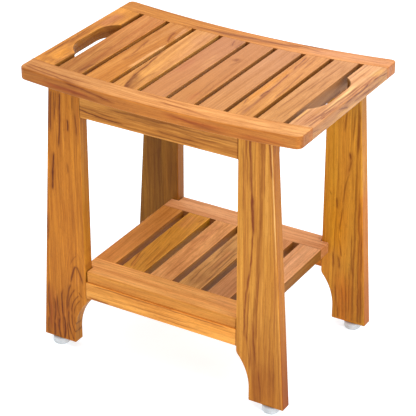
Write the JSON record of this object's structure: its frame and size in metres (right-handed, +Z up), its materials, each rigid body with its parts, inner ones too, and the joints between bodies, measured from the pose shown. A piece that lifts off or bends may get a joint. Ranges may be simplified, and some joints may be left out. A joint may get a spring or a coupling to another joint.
{
  "type": "teak shower bench",
  "caption": "Slatted teak shower bench with a curved seat, hand holes at both ends, splayed legs, a storage shelf and screw-adjustable nylon feet.",
  "frame": {"origin": "on the floor, midway between the four feet", "axes": "+X to the right along the length of the seat, +Y from front to rear, +Z up"},
  "size_m": [0.45, 0.294, 0.452],
  "materials": {
    "teak_light": "oiled, satin",
    "teak_gold": "oiled, satin",
    "teak_pink": "oiled, satin",
    "teak_brown": "oiled, satin",
    "teak_leg": "oiled, satin, dark streaks",
    "nylon_white": "moulded, semi-gloss",
    "stainless": "bright stainless",
    "brass": "turned",
    "dowel_beech": "plain beech"
  },
  "bodies": {
    "bench": {"seat_front_rail": "teak_light", "seat_rear_rail": "teak_light", "seat_left_end_board": "teak_light", "seat_right_end_board": "teak_light", "seat_slat_1": "teak_gold", "seat_slat_2": "teak_light", "seat_slat_3": "teak_pink", "seat_slat_4": "teak_light", "seat_slat_5": "teak_pink", "seat_slat_6": "teak_gold", "seat_slat_7": "teak_light", "seat_slat_8": "teak_pink", "front_apron": "teak_brown", "rear_apron": "teak_brown", "front_batten": "teak_brown", "rear_batten": "teak_brown", "leg_front_left": "teak_leg", "leg_front_right": "teak_leg", "leg_rear_left": "teak_leg", "leg_rear_right": "teak_leg", "shelf_front_rail": "teak_light", "shelf_rear_rail": "teak_light", "shelf_left_end_board": "teak_pink", "shelf_right_end_board": "teak_pink", "shelf_slat_1": "teak_gold", "shelf_slat_2": "teak_pink", "shelf_slat_3": "teak_light", "shelf_slat_4": "teak_pink", "front_stretcher": "teak_light", "rear_stretcher": "teak_light", "foot_inserts": "brass", "slat_screws": "stainless", "leg_screws": "stainless", "apron_screws": "stainless", "apron_dowels": "dowel_beech", "stretcher_dowels": "dowel_beech", "shelf_screws": "stainless"},
    "pad_front_left": {"foot_pad_front_left": "nylon_white"},
    "stud_front_left": {"foot_stud_front_left": "stainless"},
    "pad_front_right": {"foot_pad_front_right": "nylon_white"},
    "stud_front_right": {"foot_stud_front_right": "stainless"},
    "pad_rear_left": {"foot_pad_rear_left": "nylon_white"},
    "stud_rear_left": {"foot_stud_rear_left": "stainless"},
    "pad_rear_right": {"foot_pad_rear_right": "nylon_white"},
    "stud_rear_right": {"foot_stud_rear_right": "stainless"}
  },
  "joints": [
    {"name": "foot_slide_front_left", "type": "slide", "parent": "bench", "child": "pad_front_left", "axis": [0, 0, -1], "range_m": [0, 0.008]},
    {"name": "foot_turn_front_left", "type": "hinge", "parent": "pad_front_left", "child": "stud_front_left", "pos_m": [-0.1815, -0.1312, 0.02], "axis": [0, 0, -1], "range_deg": [0, 2880]},
    {"name": "foot_slide_front_right", "type": "slide", "parent": "bench", "child": "pad_front_right", "axis": [0, 0, -1], "range_m": [0, 0.008]},
    {"name": "foot_turn_front_right", "type": "hinge", "parent": "pad_front_right", "child": "stud_front_right", "pos_m": [0.1815, -0.1312, 0.02], "axis": [0, 0, -1], "range_deg": [0, 2880]},
    {"name": "foot_slide_rear_left", "type": "slide", "parent": "bench", "child": "pad_rear_left", "axis": [0, 0, -1], "range_m": [0, 0.008]},
    {"name": "foot_turn_rear_left", "type": "hinge", "parent": "pad_rear_left", "child": "stud_rear_left", "pos_m": [-0.1815, 0.1312, 0.02], "axis": [0, 0, -1], "range_deg": [0, 2880]},
    {"name": "foot_slide_rear_right", "type": "slide", "parent": "bench", "child": "pad_rear_right", "axis": [0, 0, -1], "range_m": [0, 0.008]},
    {"name": "foot_turn_rear_right", "type": "hinge", "parent": "pad_rear_right", "child": "stud_rear_right", "pos_m": [0.1815, 0.1312, 0.02], "axis": [0, 0, -1], "range_deg": [0, 2880]}
  ],
  "couplings": [
    {"joint": "foot_turn_front_left", "follows": "foot_slide_front_left", "rad_per_m": 6283.2},
    {"joint": "foot_turn_front_right", "follows": "foot_slide_front_right", "rad_per_m": 6283.2},
    {"joint": "foot_turn_rear_left", "follows": "foot_slide_rear_left", "rad_per_m": 6283.2},
    {"joint": "foot_turn_rear_right", "follows": "foot_slide_rear_right", "rad_per_m": 6283.2}
  ]
}
